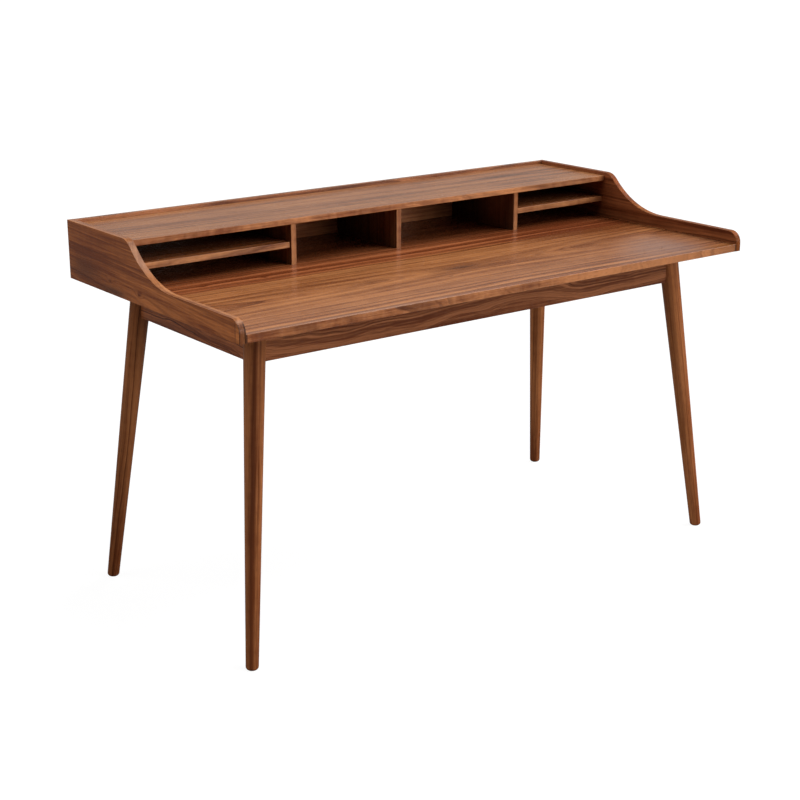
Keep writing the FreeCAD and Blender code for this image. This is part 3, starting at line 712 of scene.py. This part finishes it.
class DESK_OT_desktop(bpy.types.Operator):
    """Finishes the desktop board"""
    bl_idname = "desk.desktop"
    bl_label = "Finish desktop"

    def execute(self, context):
        settings = context.scene.desk_walnut
        look = grain(
            heart=-0.155, depth=0.0874, fall=0.05, turn=0.08, seed=0.31, smoke=0.2, contrast=0.88,
            gloss=0.25, tint=(1.27, 1.33, 1.24), smudges=((0.0, -0.154, 0.05, 0.012, 0.75),),
            # The first leaf is a slight tone change at the front; the next two make the board's back redder
            # and darker towards and under the hutch: painted shade
            leaves=((-0.257, 0.001, (0.97, 0.97, 0.97)), (-0.015, 0.022, (0.935, 0.775, 0.81)),
                (0.04, 0.13, (0.36, 0.31, 0.28))),
            # Patches: a painted reflection of a soft light at the right front, a painted highlight along the
            # left of the front edge, and a warm streak at the front right corner
            patches=((0.56, -0.27, 0.13, 0.1, 0.55, settings.painted_reflection),
                (-0.42, -0.363, 0.38, 0.01, 0.8, settings.glint),
                (0.66, -0.362, 0.13, 0.024, 0.95, settings.amber)),
            # Darker at the right back by the right panel, a dark streak of the wood deepened by painted
            # shade, and a little darker at the left back: painted shade
            lights=((0.52, 0.02, 0.26, 0.11, -0.75), (-0.45, 0.08, 0.2, 0.08, -0.2)),
            knots=((0.013, -0.158, 0.034, 0.01, 0.006, 1.0), (0.238, -0.158, 0.014, 0.007, 0.004, 0.7),
                (-0.072, -0.212, 0.012, 0.007, -0.005, 0.6), (0.062, -0.232, 0.01, 0.006, -0.004, 0.5),
                (-0.41, 0.03, 0.012, 0.016, 0.004, 0.6), (-0.565, 0.04, 0.012, 0.016, 0.004, 0.5)))
        front = grain(
            heart=0.03, depth=0.05, fall=0.1, turn=0.2, seed=1.9, smoke=0.6, wander=0.012, mottle=0.26,
            contrast=1.1, wide=0.6, tint=(1.13, 1.15, 1.15), seam=(0.0, 0.704, 0.85),
            # The front edge: paler towards the right, painted light from that side, and darker at its left
            # end
            lights=((0.45, 0.0, 0.3, 1.0, 0.85), (-0.66, 0.0, 0.05, 1.0, -0.5)))
        edges = front_edge(front, DESKTOP_EDGE)
        dress(walnut("Walnut desktop", look, place=(0.0, 0.0, DESKTOP_FACE), edges=edges), "desktop")
        return {"FINISHED"}


class DESK_OT_hutch(bpy.types.Operator):
    """Finishes the hutch: top board, back panel and dividers"""
    bl_idname = "desk.hutch"
    bl_label = "Finish hutch"

    def execute(self, context):
        front = grain(
            heart=0.03, depth=0.05, fall=0.06, turn=-0.3, seed=2.9, smoke=0.4, wander=0.01, mottle=0.25,
            wide=0.35, tint=(1.22, 1.35, 1.45))
        # The hutch top's front edge darker at the left and paler at the right: painted light from the right
        top_front = dict(front, lights=((-0.45, 0.0, 0.25, 1.0, -0.28), (0.35, 0.0, 0.28, 1.0, 0.6)))
        look = grain(
            heart=0.255, depth=0.06, fall=0.03, turn=-0.9, seed=2.3, smoke=0.4, contrast=0.85, wide=0.5,
            gloss=0.17, tint=(1.02, 1.14, 1.18))
        edges = front_edge(top_front, HUTCH_EDGE)
        dress(walnut("Walnut hutch top", look, place=(0.0, 0.0, HUTCH_FACE), edges=edges), "hutch_top")
        look = grain(
            heart=0.04, depth=0.12, fall=0.02, turn=0.4, seed=3.7, smoke=0.4, tint=(0.98, 0.98, 1.05),
            lights=((-0.4, 0.07, 0.25, 0.015, 0.35), (0.35, 0.07, 0.28, 0.015, -0.7)),
            # Painted shade on the back panel inside the bays: beside the dividers and deep in the left and
            # right bays
            shades=((0.025, 0.0, 0.07, 0.07, 0.8), (0.4, 0.0, 0.1, 0.07, 0.36),
                (-0.48, -0.01, 0.2, 0.055, 0.6), (0.58, 0.0, 0.13, 0.07, 0.45)))
        lip = dict(front, seed=3.3, wide=0.3, mottle=0.12, tint=(0.98, 1.05, 1.06))
        edges = ((2, lip, "x", "y", (0.0, BACK_PANEL_MIDDLE, 0.0)),)
        place = (0.0, BACK_PANEL_MIDDLE, HUTCH_MIDDLE)
        dress(walnut("Walnut back panel", look, "x", "z", place, edges=edges), "back_panel")
        # The dividers' tint is darkened, painted shade inside the bays, and their leaf deepens it towards the
        # rear
        look = grain(
            heart=0.05, depth=0.1, fall=0.03, seed=4.1, smoke=0.4, contrast=0.7,
            leaves=((-0.1, 0.16, (0.3, 0.28, 0.28)),), tint=(0.62, 0.74, 0.9))
        divider_front = dict(front, seed=4.6, tint=(0.95, 1.02, 1.04))
        edges = ((1, divider_front, "z", "x", (0.0, 0.0, HUTCH_MIDDLE)),)
        for index, name in enumerate(("left_divider", "centre_divider", "right_divider")):
            place = (0.01 * index, DIVIDER_MIDDLE, HUTCH_MIDDLE)
            dress(walnut("Walnut " + name.replace("_", " "), look, "z", "y", place, edges=edges), name)
        return {"FINISHED"}


class DESK_OT_side_panels(bpy.types.Operator):
    """Finishes the two side panels"""
    bl_idname = "desk.side_panels"
    bl_label = "Finish side panels"

    def execute(self, context):
        band = grain(
            heart=0.0, depth=0.04, fall=0.01, seed=5.8, smoke=0.2, mottle=0.25, contrast=0.7,
            tint=(1.1, 1.16, 1.18), all_but=True,
            # The band's paler spots; the first, near the top of the sweep, is a painted sheen
            lights=((0.04, 0.0, 0.08, 1.0, 0.35), (-0.22, 0.0, 0.09, 1.0, 0.25)))
        # The sweep band's paler, bluer tint on the faces that look forward and up: painted sheen
        sweep = dict(band, tint=(1.0, 1.25, 1.75), contrast=0.4, all_but=False, facing=0.35)
        end = grain(
            heart=0.0, depth=0.04, fall=0.01, seed=5.3, smoke=0.4, mottle=0.05, contrast=0.9,
            tint=(0.66, 0.64, 0.66), seam=(0.716, 0.0045, 0.85), beyond=PANEL_FRONT)
        look = grain(
            heart=-0.07, depth=0.09, fall=0.06, turn=-0.75, seed=5.2, gloss=0.1, rings=0.6, wide=0.6,
            tint=(1.08, 0.9, 0.62),
            knots=((0.038, -0.047, 0.016, 0.008, 0.008, 0.9), (0.168, -0.039, 0.018, 0.008, 0.008, 0.9)),
            smudges=((0.15, -0.06, 0.06, 0.01, 0.95), (0.29, -0.035, 0.07, 0.03, 0.65),
                (-0.349, -0.045, 0.0016, 0.022, 0.7)),
            lights=((-0.13, -0.052, 0.11, 0.014, 0.35), (0.27, 0.0, 0.14, 0.08, -0.5),
                (-0.357, -0.045, 0.006, 0.03, 0.4)))
        edges = self.rims(band, sweep, end)
        place = (-PANEL_OUTSIDE, 0.0, HUTCH_MIDDLE)
        dress(walnut("Walnut left panel", look, "y", "z", place, edges=edges), "left_side_panel")
        look = grain(
            heart=-0.1, depth=0.09, fall=0.03, seed=6.4, smoke=0.6, rings=0.7, wide=0.7, gloss=0.04,
            tint=(0.75, 0.63, 0.6))
        right_band = dict(band, tint=(0.86, 0.78, 0.66), lights=((-0.05, 0.0, 0.06, 1.0, 0.45),))
        right_sweep = dict(
            right_band, tint=(0.62, 0.42, 0.22), contrast=0.4, all_but=False, facing=0.3,
            lights=((-0.35, 0.0, 0.05, 1.0, 0.9),))
        right_end = dict(end, tint=(0.74, 0.6, 0.44), seam=(0.716, 0.0045, 0.35))
        edges = self.rims(right_band, right_sweep, right_end)
        place = (PANEL_INSIDE, 0.0, HUTCH_MIDDLE)
        dress(walnut("Walnut right panel", look, "y", "z", place, edges=edges), "right_side_panel")
        return {"FINISHED"}

    def rims(self, band, sweep, end):
        """The bands round a panel: on its level edges, on its sweep, and on its front and rear ends."""
        middle = (PANEL_MIDDLE, 0.0, 0.0)
        return ((0, band, "y", "x", middle), (1, sweep, "y", "x", middle),
                (1, end, "z", "x", (PANEL_MIDDLE, 0.0, DESKTOP_FACE)))


class DESK_OT_shelves(bpy.types.Operator):
    """Finishes the two loose shelves"""
    bl_idname = "desk.shelves"
    bl_label = "Finish shelves"

    def execute(self, context):
        front = grain(
            heart=0.03, depth=0.05, fall=0.06, turn=0.3, seed=7.2, smoke=0.3, wander=0.01, mottle=0.25,
            tint=(1.1, 1.25, 1.3))
        # The shelves' leaf darkens them towards the rear: painted shade under the hutch top
        look = grain(
            heart=0.2, depth=0.1, fall=0.03, seed=7.7, smoke=0.3, tint=(0.85, 0.82, 0.8),
            leaves=((0.12, 0.11, (0.14, 0.12, 0.12)),))
        place = (0.0, 0.0, SHELF_FACE)
        material = walnut("Walnut shelves", look, place=place, edges=front_edge(front, SHELF_EDGE))
        dress(material, "left_shelf", "right_shelf")
        return {"FINISHED"}


class DESK_OT_base(bpy.types.Operator):
    """Finishes the legs and rails"""
    bl_idname = "desk.base"
    bl_label = "Finish base"

    def execute(self, context):
        # Each leg's side, depth and tone; the tones are partly painted light, the front right leg lightest
        # where most light falls
        legs = ((-1, -1, 0.82), (1, -1, 1.14), (-1, 1, 0.76), (1, 1, 0.95))
        # Painted light on the front left leg's left and right flanks round its dark stripe; a paler stripe on
        # the front right leg's left
        lights = {"front_left": self.streak_and_shade(0.0065, -0.62) + [(0.05, -0.022, 0.4, 0.006, 0.35),
                                                            (0.05, 0.019, 0.4, 0.011, 0.42)],
                  "front_right": [(0.05, -0.016, 0.4, 0.008, 0.35)]}
        smudges = {"front_left": self.streak_and_shade(0.005, 0.35)}
        # Painted shade down the front left leg's stripe, and a painted shadow of the desktop at the top of
        # the leg
        shades = {"front_left": self.streak_and_shade(0.005, 0.08) + [(0.325, -0.001, 0.022, 0.019, 0.35)]}
        dark_foot = [(-0.366, 0.0, 0.15, 1.0, -0.3)]
        for index, (corner, (side, depth, tone)) in enumerate(zip(CORNERS, legs)):
            look = grain(
                heart=0.035, depth=0.03, fall=0.012, seed=8.3 + 1.7 * index, rings=0.7, contrast=0.85,
                wide=0.6, gloss=0.06, tint=(tone, tone * 0.95, tone * 0.9), smudges=smudges.get(corner, ()),
                shades=shades.get(corner, ()), lights=dark_foot + lights.get(corner, []))
            place = (side * LEG_MIDDLE[0], BASE_SHIFT + depth * LEG_MIDDLE[1], LEG_MIDDLE[2])
            lean = (-depth * LEG_LEAN[0], side * LEG_LEAN[1], 0.0)
            material = walnut("Walnut leg " + corner.replace("_", " "), look, "z", "x", place, lean)
            dress(material, corner + "_leg")
        look = grain(
            heart=0.05, depth=0.07, fall=0.16, turn=0.1, seed=12.0, smoke=0.9, wander=0.04, gloss=0.1,
            contrast=1.3, rings=0.8, tint=(0.77, 0.73, 0.79))
        dress(walnut("Walnut front rail", look, "x", "z", (0.0, FRONT_RAIL, RAIL_MIDDLE)), "front_rail")
        rear_look = dict(look, seed=13.0)
        dress(walnut("Walnut rear rail", rear_look, "x", "z", (0.0, REAR_RAIL, RAIL_MIDDLE)), "rear_rail")
        for side, name in ((-1, "left"), (1, "right")):
            side_look = dict(look, seed=14.0 + side, tint=(0.88, 0.73, 0.64))
            place = (side * SIDE_RAIL, 0.0, RAIL_MIDDLE)
            dress(walnut("Walnut %s side rail" % name, side_look, "y", "z", place), name + "_side_rail")
        return {"FINISHED"}

    def streak_and_shade(self, width, strength):
        """Spots down the front left leg's dark line, a wood streak with painted shade, nearing its middle as
        it tapers.
        """
        return [(x, -0.0108 - 0.0075 * x, 0.15, width, strength) for x in (0.25, 0.0)]


class DESK_OT_beech(bpy.types.Operator):
    """Finishes the beech pieces: corner blocks, centre bearer and dowels"""
    bl_idname = "desk.beech"
    bl_label = "Finish beech pieces"

    def execute(self, context):
        for index, corner in enumerate(CORNERS):
            name = corner + "_corner_block"
            low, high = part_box(name)
            label = "Beech block " + corner.replace("_", " ")
            dress(beech(label, "x", "y", (low + high) / 2, 2.0 + index), name)
        dress(beech("Beech bearer", "y", "x", (0.0, 0.0, 0.70), 7.0), "centre_bearer")
        material = beech("Beech long dowels", "x", "y", (0.0, 0.0, 0.74), 9.0)
        dress(material, "side_panel_dowels", "hutch_top_dowels")
        rear = (0.0, 0.3, HUTCH_MIDDLE)
        dress(beech("Beech rear dowels", "y", "x", rear, 11.0), "back_panel_dowels", "bearer_dowels")
        dress(beech("Beech upright dowels", "z", "x", rear, 13.0), "divider_dowels")
        return {"FINISHED"}


class DESK_OT_shelf_supports(bpy.types.Operator):
    """Finishes the nickel-plated shelf supports"""
    bl_idname = "desk.shelf_supports"
    bl_label = "Finish shelf supports"

    def execute(self, context):
        material = plated("Nickel supports", context.scene.desk_fittings.nickel, 0.22)
        dress(material, "left_shelf_supports", "right_shelf_supports")
        return {"FINISHED"}


class DESK_OT_brackets(bpy.types.Operator):
    """Finishes the zinc-plated angle brackets"""
    bl_idname = "desk.brackets"
    bl_label = "Finish brackets"

    def execute(self, context):
        dress(plated("Zinc brackets", context.scene.desk_fittings.zinc, 0.34), "top_brackets")
        return {"FINISHED"}


class DESK_OT_screws(bpy.types.Operator):
    """Models the wood screws of the brackets, the bearer and the corner blocks"""
    bl_idname = "desk.screws"
    bl_label = "Model screws"

    def execute(self, context):
        settings = context.scene.desk_fittings
        material = plated("Zinc screws", settings.zinc, 0.28)
        # Node, way of its heads, diameter of shank and head, height and outline of the head
        kinds = (("bracket_screws", head_way, 0.0040, 0.0080, 0.0024, DOMED_HEAD),
                 ("bearer_screws", head_way, 0.0045, 0.0090, 0.0030, DOMED_HEAD),
                 ("corner_block_screws", inward, 0.0040, 0.0080, 0.0020, FLAT_HEAD))
        for node, way, shank, head, height, outline in kinds:
            by_length = {}
            for seat in seats_of(node, way):
                by_length.setdefault(round(seat[0], 5), []).append(seat)
            for length, seats in by_length.items():
                master = self.screw(settings, length, shank / 2, head / 2, height, outline)
                set_out(master, seats, material, node)
        return {"FINISHED"}

    def screw(self, settings, length, shank, head, height, outline):
        """One wood screw, from its tip to the recess in its head. Shank and head are radii."""
        thread = shank * 2.4 - length
        root = shank * 0.72
        bite = max(0.6 * (length - height), 4 * settings.screw_pitch)
        profile = [(shank * 0.12, -length), (root, thread)]
        profile += threaded(thread, thread + bite, shank, root, settings.screw_pitch)
        profile += [(root, thread + bite), (shank, thread + bite + shank * 0.3), (shank, -height)]
        profile += [(head * wide, -height * deep) for wide, deep in outline]
        master = turned("screw", profile)
        cross_recess(master, settings.recess, height * 0.75)
        smooth(master, 35.0)
        return master


class DESK_OT_leg_fixings(bpy.types.Operator):
    """Models the leg bolts and nuts and finishes their washers"""
    bl_idname = "desk.leg_fixings"
    bl_label = "Model leg fixings"

    def execute(self, context):
        settings = context.scene.desk_fittings
        material = plated("Zinc leg fixings", settings.zinc, 0.30)
        dress(material, "leg_washers")
        for node, shape in (("leg_bolts", self.bolt), ("leg_nuts", self.nut)):
            seats = seats_of(node, inward)
            set_out(shape(settings, seats[0][0]), seats, material, node)
        return {"FINISHED"}

    def bolt(self, settings, length):
        """A bolt with a wood thread, a collar and a thread for the nut."""
        start = -length
        root = BOLT_RADIUS - settings.bolt_pitch * 0.55
        point, wood_end = start + BOLT_POINT, start + BOLT_WOOD_THREAD
        profile = [(BOLT_RADIUS * 0.15, start), (root, point)]
        profile += threaded(point, wood_end, BOLT_RADIUS, root, settings.bolt_pitch * 2)
        profile += zip((root, BOLT_RADIUS, BOLT_RADIUS, root), [start + height for height in BOLT_COLLAR])
        profile += threaded(start + BOLT_NUT_THREAD, -BOLT_END, BOLT_RADIUS, root, settings.bolt_pitch)
        profile += [(root, -0.0006), (root * 0.90, 0.0)]
        bolt = turned("bolt", profile)
        smooth(bolt, 25.0)
        return bolt

    def nut(self, settings, height):
        """A hexagon nut with chamfered corners and a bore."""
        corner = NUT_FLATS / math.sqrt(3)
        middle = (0.0, 0.0, -height / 2)
        pick()
        bpy.ops.mesh.primitive_cylinder_add(vertices=6, radius=corner, depth=height, location=middle)
        nut = bpy.context.object
        nut.name = "nut"
        bpy.ops.object.transform_apply(location=True, rotation=True, scale=True)
        rim = NUT_FLATS / 2 * 0.97
        wide = corner * 1.02
        chamfer = settings.nut_chamfer
        blank = turned("blank", [(rim, -height), (wide, chamfer - height), (wide, -chamfer), (rim, 0.0)], 48)
        blank.rotation_euler.z = math.pi / 48
        bpy.context.view_layer.update()
        cut_by(nut, blank, "INTERSECT")
        mouth = NUT_BORE * 1.25
        hole = [(mouth, -height - 0.0004), (NUT_BORE, 0.0008 - height), (NUT_BORE, -0.0008), (mouth, 0.0004)]
        cut_by(nut, turned("bore", hole, 32))
        smooth(nut, 25.0)
        return nut


def soft_lamp(name, direction, spread, strength):
    """Adds a far lamp, as wide as its spread, that shines from a direction."""
    data = bpy.data.lights.new(name, "SUN")
    data.energy = strength
    data.angle = math.radians(spread)
    lamp = bpy.data.objects.new(name, data)
    lamp.rotation_euler = Vector(direction).to_track_quat("Z", "Y").to_euler()
    bpy.context.scene.collection.objects.link(lamp)


class DESK_OT_stage(bpy.types.Operator):
    """Sets up the floor, the light and the camera"""
    bl_idname = "desk.stage"
    bl_label = "Set up studio"

    def execute(self, context):
        settings = context.scene.desk_studio
        white = (1.0, 1.0, 1.0)
        pick()
        bpy.ops.mesh.primitive_plane_add(size=FLOOR_SIZE, location=ORIGIN)
        floor = context.object
        floor.name = "floor"
        material = bpy.data.materials.new("Pale floor")
        tree = cleared(material)
        matt = put(tree, "BsdfDiffuse", {"Color": settings.floor}).outputs[0]
        shaded = put(tree, "BsdfDiffuse", {"Color": settings.shaded}).outputs[0]
        glow = put(tree, "Emission", {"Color": white, "Strength": settings.glow}).outputs[0]
        seen = put(tree, "AddShader", {0: shaded, 1: glow}).outputs[0]
        camera_ray = put(tree, "LightPath").outputs["Is Camera Ray"]
        surface = put(tree, "MixShader", {0: camera_ray, 1: matt, 2: seen}).outputs[0]
        put(tree, "OutputMaterial", {"Surface": surface})
        floor.data.materials.append(material)
        context.scene.world = bpy.data.worlds.new("Studio")
        tree = cleared(context.scene.world)
        rays = put(tree, "LightPath").outputs
        seen = calc(tree, "MAXIMUM", rays["Is Camera Ray"], rays["Is Transmission Ray"])
        mirrored = times(tree, rays["Is Glossy Ray"], settings.gloss)
        level = calc(tree, "MAXIMUM", calc(tree, "MAXIMUM", seen, mirrored), settings.fill)
        background = put(tree, "Background", {"Color": white, "Strength": level}).outputs[0]
        put(tree, "OutputWorld", {"Surface": background})
        soft_lamp("Top lamp", (0.70, -0.30, 1.0), 60.0, settings.top)
        soft_lamp("Right lamp", (0.62, -0.78, 0.15), 32.0, settings.right)
        soft_lamp("Left lamp", (-1.0, 0.35, 0.5), 60.0, settings.left)
        soft_lamp("Front lamp", (0.25, -1.0, 0.10), 40.0, settings.front)
        data = bpy.data.cameras.new("Camera")
        data.lens = settings.lens
        data.sensor_width = 36.0
        camera = bpy.data.objects.new("Camera", data)
        camera.location = CAMERA_PLACE
        camera.rotation_euler = (math.radians(CAMERA_TILT), 0.0, math.radians(CAMERA_TURN))
        context.scene.collection.objects.link(camera)
        context.scene.camera = camera
        context.scene.view_settings.view_transform = "Standard"
        return {"FINISHED"}


class DESK_PT_panel(bpy.types.Panel):
    """Lists the desk's steps in the sidebar"""
    bl_idname = "DESK_PT_panel"
    bl_label = "Walnut writing desk"
    bl_space_type = "VIEW_3D"
    bl_region_type = "UI"
    bl_category = "Desk"

    def draw(self, context):
        for step in STEPS:
            self.layout.operator(step.bl_idname)


STEPS = (DESK_OT_desktop, DESK_OT_hutch, DESK_OT_side_panels, DESK_OT_shelves, DESK_OT_base, DESK_OT_beech,
         DESK_OT_shelf_supports, DESK_OT_brackets, DESK_OT_screws, DESK_OT_leg_fixings, DESK_OT_stage)
CLASSES = (WalnutSettings, FittingSettings, StudioSettings) + STEPS + (DESK_PT_panel,)


def register():
    """Registers the classes and their settings."""
    for item in CLASSES:
        bpy.utils.register_class(item)
    bpy.types.Scene.desk_walnut = bpy.props.PointerProperty(type=WalnutSettings)
    bpy.types.Scene.desk_fittings = bpy.props.PointerProperty(type=FittingSettings)
    bpy.types.Scene.desk_studio = bpy.props.PointerProperty(type=StudioSettings)


def unregister():
    """Takes the classes and their settings out again."""
    del bpy.types.Scene.desk_studio
    del bpy.types.Scene.desk_fittings
    del bpy.types.Scene.desk_walnut
    for item in reversed(CLASSES):
        bpy.utils.unregister_class(item)


def main():
    """Registers the add-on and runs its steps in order."""
    register()
    build_groups()
    bpy.ops.desk.desktop()
    bpy.ops.desk.hutch()
    bpy.ops.desk.side_panels()
    bpy.ops.desk.shelves()
    bpy.ops.desk.base()
    bpy.ops.desk.beech()
    bpy.ops.desk.shelf_supports()
    bpy.ops.desk.brackets()
    bpy.ops.desk.screws()
    bpy.ops.desk.leg_fixings()
    bpy.ops.desk.stage()


if __name__ == "__main__":
    main()
